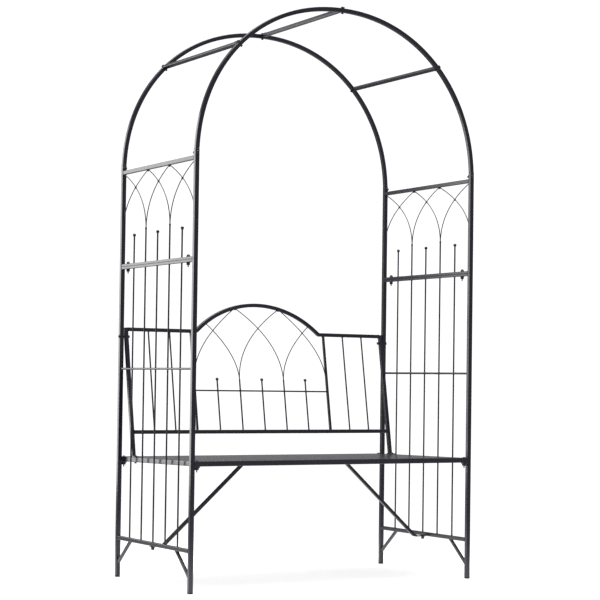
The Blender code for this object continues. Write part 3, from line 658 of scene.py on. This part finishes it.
def bottom_rail(name, sx):
    x = sx * HALF_W
    shape = Shape()
    side_rail(shape, sx, BOTTOM_RAIL_Z, RAIL, CORNER, bore_of(RAIL))
    for s in (-1, 1):
        path = [(x, s * GUSSET_TOP_Y, BOTTOM_RAIL_Z - GUSSET_SINK), (x, s * RAIL_HALF, GUSSET_FOOT_Z)]
        shape.sweep(path, X, rounded(GUSSET, GUSSET, 0.0016), first=Z, last=Y)
        foot = (x, s * (RAIL_HALF - 0.0001), GUSSET_FOOT_Z)
        shape.square_bead(foot, (0, -s, 0), GUSSET, GUSSET * 1.32, *GUSSET_WELD, s)
    return shape.piece(name + "_tube", [name], FRAME_COAT, STEEL_SLOT)


# --- roof ---


def roof_point(angle, offset, y):
    """(point, outward direction) at an angle of the roof, offset outwards from the arch axis."""
    u, v = math.cos(math.radians(angle)), math.sin(math.radians(angle))
    power = ARCH_FULLNESS
    radius = ((abs(u) / HALF_W) ** power + (v / ARCH_RISE) ** power) ** (-1 / power)
    slope_u = math.copysign(abs(u) ** (power - 1) / HALF_W**power, u)
    slope_v = v ** (power - 1) / ARCH_RISE**power
    outward = Vector((slope_u, 0, slope_v)).normalized()
    return Vector((radius * u, y, ARCH_Z + radius * v)) + outward * offset, outward


def roof_arch(name, sy):
    """A bent tube, narrowed at both legs."""
    y = sy * HALF_D
    start = math.degrees(math.atan((POST_TOP + ARCH_TAPER - ARCH_Z) / HALF_W))
    leg, tube = rounded(LEG, LEG, 0.0018), rounded(ARCH_TUBE, ARCH_TUBE, ARCH_TUBE_CORNER)
    neck = rounded(LEG + ARCH_NECK_GROWTH, LEG + ARCH_NECK_GROWTH, 0.0019)
    heights = (ARCH_LEG_END, POST_TOP, POST_TOP + ARCH_NECK_RISE)
    points = [(HALF_W, y, z) for z in heights]
    sections = [leg, leg, neck] + [tube] * (ARCH_STEPS + 1) + [neck, leg, leg]
    for i in range(ARCH_STEPS + 1):
        points.append(roof_point(start + (180 - 2 * start) * i / ARCH_STEPS, 0, y)[0])
    points += [(-HALF_W, y, z) for z in reversed(heights)]
    shape = Shape().sweep(points, Y, sections)
    return shape.piece(name + "_tube", [name], FRAME_COAT, STEEL_SLOT)


def purlin(name, angle):
    """A cross tube, with a flat tab over each arch."""
    half = HALF_D - ARCH_TUBE / 2 - GAP
    centre, outward = roof_point(angle, PURLIN_RISE, 0)
    across = Y.cross(outward)
    shape = Shape()
    rings = []
    outer, bore = rounded(PURLIN, PURLIN), rounded(PURLIN_INNER, PURLIN_INNER, INNER_CORNER)
    soft = softened(PURLIN)
    stops = [(-half, soft), (-half + 0.0004, outer), (half - 0.0004, outer), (half, soft)]
    for distance, section in stops + [(half, bore), (-half, bore)]:
        rings.append([centre + Y * distance + across * u + outward * v for u, v in section])
    shape.skin(rings, loop=True)
    for s in (-1, 1):
        level = ARCH_TUBE / 2 + PURLIN_TAB_GAP + TAB / 2
        inner, _ = roof_point(angle, level, s * (half - PURLIN_TAB_LAP))
        outer_end, _ = roof_point(angle, level, s * (HALF_D + ARCH_TUBE / 2))
        shape.sweep([inner, outer_end], outward, rounded(PURLIN_TAB_WIDTH, TAB, 0.0007, 3))
    return shape.piece(name + "_tube", [name], FRAME_COAT, STEEL_SLOT)


# --- seat ---


def seat_long_rail(name, sy):
    half = HALF_W - POST / 2 - GAP
    z = SEAT_TOP - SEAT_RAIL_HEIGHT / 2
    outer, bore = rounded(SEAT_RAIL_HEIGHT, RAIL), bore_of(SEAT_RAIL_HEIGHT)
    shape = Shape().sweep([(-half, sy * HALF_D, z), (half, sy * HALF_D, z)], Y, outer, bore)
    return shape.slope().piece(name + "_tube", [name], SEAT_SHEEN_COAT, STEEL_SLOT)


def seat_end_rail(name, sx):
    x, z = sx * SEAT_END_X, SEAT_TOP - SEAT_RAIL_HEIGHT / 2
    outer, bore = rounded(SEAT_RAIL_HEIGHT, RAIL), bore_of(SEAT_RAIL_HEIGHT)
    shape = Shape().sweep([(x, -SEAT_HALF, z), (x, SEAT_HALF, z)], X, outer, bore)
    for s in (-1, 1):
        shape.square_bead((x, s * SEAT_HALF, z), (0, -s, 0), RAIL, SEAT_RAIL_HEIGHT, *SEAT_WELD, s)
    return shape.slope().piece(name + "_tube", [name], SEAT_SHEEN_COAT, STEEL_SLOT)


def seat_deck(name):
    half = SEAT_END_X - RAIL / 2 - GAP
    slot = 2 * SEAT_HALF / SLATS
    shape = Shape()
    z = SEAT_TOP - SLAT_THICK / 2
    section = rounded(SLAT_THICK, SLAT_WIDTH, 0.0011, 4)
    cross_z = SEAT_TOP - SLAT_THICK + SLAT_SINK - CROSS_HEIGHT / 2
    for i in range(SLATS):
        y = (i - (SLATS - 1) / 2) * slot
        shape.sweep([(x, y, z) for x in (-half, -half + 0.0005, half - 0.0005, half)], Y, section)
        for _, s in SIDES:
            for edge in (-1, 1):
                spot = (s * CROSS_X, y + edge * (SLAT_WIDTH / 2 - 0.0006), SEAT_TOP - SLAT_THICK)
                shape.ball(spot, *SLAT_MARK)
    for _, s in SIDES:
        path = [(s * CROSS_X, -SEAT_HALF, cross_z), (s * CROSS_X, SEAT_HALF, cross_z)]
        shape.sweep(path, X, rounded(CROSS_HEIGHT, RAIL), bore_of(CROSS_HEIGHT))
    return shape.slope().piece(name + "_slats", [name], SEAT_SHEEN_COAT, STEEL_SLOT)


# --- backrest ---


def back_upright(name, sx):
    """One end upright of the backrest, with its foot plate on the seat."""
    x = sx * BACK_UPRIGHT_X
    shape = Shape()
    rings = [(BACK_UPRIGHT_END, rounded(RAIL, RAIL))]
    for drop, less in ((0.0009, 0.0), (0.0003, 0.0005), (0.0, 0.0014)):
        rings.append((BACK_UPRIGHT_TOP - drop, rounded(RAIL - less, RAIL - less)))
    shape.stack((x, 0, 0), Z, rings).lean()
    foot_y = BACK_Y - BACK_LEAN * (BACK_Z - BACK_FOOT_Z)
    foot_z = SEAT_TOP + GAP + TAB - SEAT_SLOPE * (foot_y + HALF_D)
    z = SEAT_TOP + GAP + TAB / 2
    front, rear, width = FOOT_PLATE
    shape.add(Shape().sweep([(x, front, z), (x, rear, z)], X, rounded(TAB, width, 0.0008, 3)).slope())
    shape.square_bead((x, foot_y, foot_z), Z, RAIL, RAIL, *FOOT_WELD, sx)
    return shape.piece(name + "_tube", [name], FRAME_COAT, STEEL_SLOT)


def back_top_rail(name):
    centre_z = BACK_ARCH_TOP - BACK_ARCH_R
    reach = math.asin(BACK_ARCH_HALF / BACK_ARCH_R)
    steps = 72
    points = [(-BACK_RAIL_HALF, 0, BACK_Z), (-BACK_ARCH_HALF, 0, BACK_Z)]
    for i in range(1, steps):
        a = -reach + 2 * reach * i / steps
        points.append((BACK_ARCH_R * math.sin(a), 0, centre_z + BACK_ARCH_R * math.cos(a)))
    points += [(BACK_ARCH_HALF, 0, BACK_Z), (BACK_RAIL_HALF, 0, BACK_Z)]
    shape = Shape().sweep(points, Y, rounded(RAIL, RAIL))
    for s in (-1, 1):
        shape.square_bead((s * BACK_RAIL_HALF, 0, BACK_Z), (-s, 0, 0), RAIL, RAIL, *RAIL_WELD, s)
    return shape.lean().piece(name + "_tube", [name], FRAME_COAT, STEEL_SLOT)


def under_back_arch(x):
    """Height of the underside of the arched top rail at x."""
    if abs(x) >= BACK_ARCH_HALF:
        return BACK_Z - RAIL / 2
    return BACK_ARCH_TOP - BACK_ARCH_R + math.sqrt((BACK_ARCH_R - RAIL / 2) ** 2 - x * x)


def back_wires(shape):
    """The crossed wires of the backrest, with a weld mark where two of them meet."""
    wire = circle(WIRE_R, 12)
    peak_x, peak_z = BACK_PEAK
    out_x, out_z = BACK_OUT
    cross_x, cross_z = BACK_CROSSING
    for s in (-1, 1):
        split = s * BACK_PITCH
        start = (split, 0, BACK_SPLIT_Z - 0.006)
        inward = bend(start, (split, 0, BACK_IN_BEND_Z), (-s * peak_x, 0, peak_z), steps=34)
        outward = bend(start, (split, 0, BACK_OUT_BEND_Z), (s * out_x, 0, out_z), steps=34)
        edge, control = (s * BACK_EDGE_X, 0, BACK_SPLIT_Z), (s * BACK_EDGE_X, 0, BACK_EDGE_BEND_Z)
        from_edge = bend(edge, control, (s * BACK_EDGE_PEAK_X, 0, peak_z), 0.08, steps=34)
        for path in (inward, outward, from_edge):
            shape.sweep(trim_to_arch(path), Y, wire)
        shape.ball((split, 0, BACK_SPLIT_Z - 0.001), *BACK_SPLIT_MARK)
        shape.ball((s * cross_x, 0, cross_z), *BACK_CROSS_MARK)
        shape.ball((s * BACK_WELD_X, 0, under_back_arch(BACK_WELD_X) - 0.0008), *BACK_PEAK_MARK)
    shape.ball((0, 0, BACK_MIDDLE_Z), *BACK_CROSS_MARK)


def trim_to_arch(path):
    """Keeps a wire up to the underside of the top rail."""
    kept = [p for p in path if p[2] < under_back_arch(p[0])]
    return kept + path[len(kept):len(kept) + 1]


def back_grille(name):
    shape = Shape()
    lower = [(-BACK_RAIL_HALF, 0, BACK_LOWER_Z), (BACK_RAIL_HALF, 0, BACK_LOWER_Z)]
    shape.sweep(lower, Y, rounded(RAIL, RAIL))
    floor = BACK_LOWER_Z + RAIL / 2
    top = BACK_Z - RAIL / 2 - GAP
    thin, square = circle(BAR_R), rounded(BACK_INNER, BACK_INNER, 0.0014)
    for s in (-1, 1):
        shape.square_bead((s * BACK_RAIL_HALF, 0, BACK_LOWER_Z), (-s, 0, 0), RAIL, RAIL, *RAIL_WELD, s)
        x = s * BACK_INNER_X
        shape.stack((x, 0, 0), Z, [(BACK_LOWER_Z, square), (top, square)])
        shape.square_bead((x, 0, floor), Z, BACK_INNER, BACK_INNER, *INNER_WELD, s)
        shape.square_bead((x, 0, top), -Z, BACK_INNER, BACK_INNER, *INNER_WELD, s + 1)
        for bar in BACK_SIDE_X:
            shape.stack((s * bar, 0, 0), Z, [(BACK_LOWER_Z, thin), (top, thin)])
            shape.bead((s * bar, 0, floor), Z, BAR_R, seed=bar * 9)
            shape.bead((s * bar, 0, top), -Z, BAR_R, seed=bar * 5)
    for i in BARS:
        shape.stack((i * BACK_PITCH, 0, 0), Z, [(BACK_LOWER_Z, thin), (BACK_SPLIT_Z, thin)])
        shape.bead((i * BACK_PITCH, 0, floor), Z, BAR_R, seed=i)
        if not i % 2:
            shape.ball((i * BACK_PITCH, 0, BACK_SPLIT_Z), BALL_R)
            shape.bead((i * BACK_PITCH, 0, BACK_SPLIT_Z - BALL_R * 0.86), -Z, BAR_R, *BALL_WELD, i)
        shape.ball((i * BACK_PITCH, 0, BACK_CROSSBAR_Z), *BACK_BAR_MARK)
    crossbar = lerp_path((-BACK_INNER_X, 0, BACK_CROSSBAR_Z), (BACK_INNER_X, 0, BACK_CROSSBAR_Z), 12)
    shape.sweep(crossbar, Y, circle(BAR_R - 0.0001))
    back_wires(shape)
    return shape.lean().piece(name + "_bars", [name], FRAME_COAT, STEEL_SLOT)


# --- braces and feet ---


def seat_brace(name, sx):
    """A slanted strut that is pressed flat at both ends."""
    tab = rounded(TAB, BRACE_TAB_WIDTH, 0.0012, 4)
    mid = rounded(0.0075, 0.0155, 0.0030, 4)
    tube = rounded(BRACE, BRACE, 0.0028, 4)
    path = BRACE_LOW_TAB + BRACE_LOW_NECK + BRACE_HIGH_NECK + BRACE_HIGH_TAB
    sections = [tab, tab, mid, tube, tube, tube, tube, mid, tab, tab]
    shape = Shape().sweep([(sx * x, 0, z) for x, z in path], Y, sections)
    return shape.piece(name + "_strut", [name], FRAME_COAT, STEEL_SLOT, sharp=50)


def foot_cap(name, sx, sy):
    rings = [(z, rounded(width, width, 0.0018)) for z, width in FLANGE]
    rings += [(z, rounded(width, width, 0.0012)) for z, width in PLUG]
    shape = Shape().stack((sx * HALF_W, sy * HALF_D, 0), Z, rings)
    return shape.piece(name + "_plug", [name], PLASTIC, "foot_cap")


# --- fasteners ---


def turned(radius):
    return circle(radius, SIDES_ROUND)


def disc(start, end, radius):
    """Rings of a washer or a spacer with softened rims."""
    rings = [(start, turned(radius - RIM)), (start + RIM, turned(radius))]
    return rings + [(end - RIM, turned(radius)), (end, turned(radius - RIM))]


def dome(head_r, head_h):
    """Rings of a domed head, from its top to its underside."""
    rings = []
    lip = 0.0006
    for i in range(7):
        a = math.radians(86 - 86 * i / 6)
        rings.append((-lip - (head_h - lip) * math.sin(a), turned(head_r * math.cos(a))))
    return rings + [(-0.0001, turned(head_r)), (0, turned(head_r - RIM))]


def thread(start, end):
    """Rings that stand for a thread: its root and its crest in turn."""
    rings = []
    count = max(2, int((end - start) / PITCH))
    step = (end - start) / count
    for i in range(count):
        level = start + (end - start) * i / count
        rings += [(level, turned(SHANK_R * 0.86)), (level + step * 0.5, turned(SHANK_R))]
    return rings + [(end, turned(SHANK_R * 0.8))]


def nut_rings(level, across, height):
    """A hexagon nut with chamfered corners and faces."""
    flat = across * math.cos(math.pi / 6)
    return [
        (level, turned(flat / 2 * 0.98)),
        (level + height * 0.10, hexagon(across)),
        (level + height * 0.90, hexagon(across)),
        (level + height, turned(flat / 2 * 0.97)),
        (level + height, turned(SHANK_R * 0.9)),
    ]


def bolt(name, seat, into, grip, head=SMALL_HEAD, nut=SMALL_NUT, washer=0.0, tail=0.0, spacer=None):
    """A domed bolt with its nut. seat is under the head, and into points through the grip."""
    rings = dome(*head) + [(0, turned(SHANK_R))]
    if spacer:
        start, stop = spacer
        rings += [(start, turned(SHANK_R))] + disc(start, stop, SPACER_R) + [(stop, turned(SHANK_R))]
    rings += [(grip, turned(SHANK_R))]
    level = grip
    if washer:
        rings += disc(level, level + WASHER, washer)
        level += WASHER
    rings += nut_rings(level, *nut)
    if tail:
        rings += thread(level + nut[1], level + nut[1] + tail)
    else:
        rings += [(level + nut[1] - 0.0003, turned(SHANK_R * 0.9))]
    shape = Shape().stack(seat, into, rings)
    return shape.piece(name + "_set", [name], ZINC, "fastener", 28)


def screw(name, seat, into, length, head=SCREW_HEAD, washer=SCREW_WASHER):
    """A hexagon screw with its washer, driven in from below."""
    across, height = head
    flat = across * math.cos(math.pi / 6)
    rings = [(-WASHER - height, turned(flat / 2 * 0.9)), (-WASHER - height * 0.86, hexagon(across))]
    rings += [(-WASHER, hexagon(across))] + disc(-WASHER, 0, washer)
    rings += thread(0, length)
    shape = Shape().stack(seat, into, rings)
    return shape.piece(name + "_set", [name], ZINC, "fastener", 28)


def fasteners():
    for end, sy in ENDS:
        for side, sx in SIDES:
            where = end + "_" + side
            seat = (sx * HALF_W, sy * (HALF_D + POST / 2 + GAP), ARCH_BOLT_Z)
            grip = POST + 2 * GAP
            bolt("arch_leg_bolt_" + where, seat, -sy * Y, grip, LEG_HEAD, BIG_NUT, BIG_WASHER, LEG_TAIL)
            seat = (sx * HALF_W, sy * JOINT_BOLT_Y, SPLIT_Z + GAP / 2 + JOINT_BAR_HEIGHT + GAP)
            grip = 2 * JOINT_BAR_HEIGHT + 3 * GAP
            bolt("panel_bolt_" + where, seat, -Z, grip, PANEL_HEAD, PANEL_NUT, SMALL_WASHER, PANEL_TAIL)
            top = SEAT_TOP - SEAT_SLOPE * (sy + 1) * HALF_D + GAP + 0.0001
            grip = SEAT_RAIL_HEIGHT + TAB + 3 * GAP + 0.0003
            seat = (sx * SEAT_END_X, sy * HALF_D, top)
            bolt("seat_bolt_" + where, seat, -Z, grip, SMALL_HEAD, SEAT_NUT, SEAT_WASHER, SEAT_TAIL)
        for spot, angle in PURLIN_ANGLES:
            level = ARCH_TUBE / 2 + PURLIN_TAB_GAP + TAB + GAP
            point, outward = roof_point(angle, level, sy * HALF_D)
            grip = level + ARCH_TUBE / 2 + PURLIN_NUT_GAP
            bolt("purlin_bolt_" + end + "_" + spot, point, -outward, grip)
    for side, sx in SIDES:
        seat = (sx * HALF_W, 0, BRACE_TAB_Z - TAB / 2 - GAP)
        screw("brace_foot_screw_" + side, seat, Z, FOOT_SCREW_LENGTH, FOOT_SCREW_HEAD, FOOT_SCREW_WASHER)
        seat = (sx * CROSS_X, 0, BRACE_TOP_TAB_Z - TAB / 2 - GAP)
        screw("brace_top_screw_" + side, seat, Z, TOP_SCREW_LENGTH)
        seat = (sx * (HALF_W + POST / 2 + GAP), BACK_BOLT_Y, BACK_BOLT_Z)
        to_upright = HALF_W + POST / 2 - BACK_UPRIGHT_X - RAIL / 2
        spacer = (POST + 2 * GAP, to_upright)
        grip = to_upright + RAIL + 2 * GAP
        bolt("backrest_post_bolt_" + side, seat, -sx * X, grip, BACK_HEAD, BACK_NUT, spacer=spacer)
        top = SEAT_TOP - SEAT_SLOPE * (BACK_FOOT_BOLT_Y + HALF_D) + TAB + 2 * GAP + 0.0001
        grip = TAB + SEAT_RAIL_HEIGHT + 3 * GAP + 0.0003
        bolt("backrest_foot_bolt_" + side, (sx * SEAT_END_X, BACK_FOOT_BOLT_Y, top), -Z, grip)


def furniture():
    for side, sx in SIDES:
        for end, sy in ENDS:
            where = end + "_" + side
            post("lower_post_" + where, sx, sy, True)
            post("upper_post_" + where, sx, sy, False)
            foot_cap("foot_cap_" + where, sx, sy)
        lower_grille("lower_side_grille_" + side, sx)
        upper_grille("upper_side_grille_" + side, sx)
        bottom_rail("bottom_rail_" + side, sx)
        seat_end_rail("seat_end_rail_" + side, sx)
        back_upright("backrest_upright_" + side, sx)
        seat_brace("seat_brace_" + side, sx)
    for end, sy in ENDS:
        roof_arch("arch_" + end, sy)
        seat_long_rail("seat_" + end + "_rail", sy)
    for spot, angle in PURLIN_ANGLES:
        purlin("purlin_" + spot, angle)
    seat_deck("seat_slat_deck")
    back_top_rail("backrest_top_rail")
    back_grille("backrest_grille")
    fasteners()


# --- studio ---


def floor():
    """A white disc that fades into the white backdrop, so that no horizon shows."""
    mesh = bpy.data.meshes.new("studio_floor")
    bm = bmesh.new()
    bmesh.ops.create_circle(bm, cap_ends=True, segments=96, radius=FLOOR_R)
    bm.to_mesh(mesh)
    bm.free()
    obj = bpy.data.objects.new("studio_floor", mesh)
    material, nodes, links, shader = node_material("studio_floor")
    coords = nodes.new("ShaderNodeTexCoord").outputs["Object"]
    patch = noise_node(nodes, links, coords, 3.0, 2.0)
    color = mix_color(nodes, links, patch, (0.86, 0.86, 0.86, 1), (0.88, 0.88, 0.88, 1))
    links.new(color, shader.inputs["Base Color"])
    shader.inputs["Roughness"].default_value = 0.9
    shader.inputs["Specular IOR Level"].default_value = 0.1
    shader.inputs["Emission Color"].default_value = (1, 1, 1, 1)
    shader.inputs["Emission Strength"].default_value = 0.55
    reach = nodes.new("ShaderNodeVectorMath")
    reach.operation = "LENGTH"
    links.new(coords, reach.inputs[0])
    links.new(ramp(nodes, links, reach.outputs["Value"], *FADE, 1.0, 0.0), shader.inputs["Alpha"])
    mesh.materials.append(material)
    bpy.context.scene.collection.objects.link(obj)


def area_light(name, place, target, size, power):
    data = bpy.data.lights.new(name, "AREA")
    data.shape = "RECTANGLE"
    data.size, data.size_y = size
    data.energy = power
    obj = bpy.data.objects.new(name, data)
    obj.location = place
    direction = Vector(target) - Vector(place)
    obj.rotation_euler = direction.to_track_quat("-Z", "Y").to_euler()
    obj.visible_camera = False
    bpy.context.scene.collection.objects.link(obj)


def world(strength, backdrop):
    """A pale room: its light is soft and even, and the backdrop behind the object is white."""
    scene_world = bpy.data.worlds.new("studio")
    bpy.context.scene.world = scene_world
    scene_world.use_nodes = True
    nodes, links = scene_world.node_tree.nodes, scene_world.node_tree.links
    nodes.clear()
    out = nodes.new("ShaderNodeOutputWorld")
    mix = nodes.new("ShaderNodeMixShader")
    path = nodes.new("ShaderNodeLightPath")
    glow = nodes.new("ShaderNodeBackground")
    glow.inputs["Color"].default_value = (1, 1, 1, 1)
    glow.inputs["Strength"].default_value = strength
    white = nodes.new("ShaderNodeBackground")
    white.inputs["Color"].default_value = (1, 1, 1, 1)
    white.inputs["Strength"].default_value = backdrop
    links.new(path.outputs["Is Camera Ray"], mix.inputs[0])
    links.new(glow.outputs[0], mix.inputs[1])
    links.new(white.outputs[0], mix.inputs[2])
    links.new(mix.outputs[0], out.inputs[0])


def camera():
    data = bpy.data.cameras.new("photo_camera")
    data.sensor_width = 36.0
    data.lens = LENS
    data.shift_x, data.shift_y = LENS_SHIFT
    data.clip_end = 200
    obj = bpy.data.objects.new("photo_camera", data)
    yaw, pitch, roll = (math.radians(angle) for angle in CAMERA_TURN)
    forward = Vector((math.sin(yaw) * math.cos(pitch), math.cos(yaw) * math.cos(pitch), math.sin(pitch)))
    right = Vector((math.cos(yaw), -math.sin(yaw), 0))
    up = right.cross(forward)
    right, up = right * math.cos(roll) + up * math.sin(roll), up * math.cos(roll) - right * math.sin(roll)
    turn = Matrix((right, up, -forward)).transposed().to_4x4()
    obj.matrix_world = Matrix.Translation(Vector(CAMERA_PLACE) + Y * SHIFT_Y) @ turn
    bpy.context.scene.collection.objects.link(obj)
    bpy.context.scene.camera = obj


furniture()
floor()
world(0.32, 1.1)
area_light("key_left", (-1.75, 2.1, 1.38), (-0.6, 0.0, 1.34), (1.1, 2.36), 28)
area_light("overhead", (-0.3, -0.3, 4.6), (0, 0, 0.0), (3.6, 3.6), 260)
camera()
bpy.context.scene.view_settings.view_transform = "Standard"
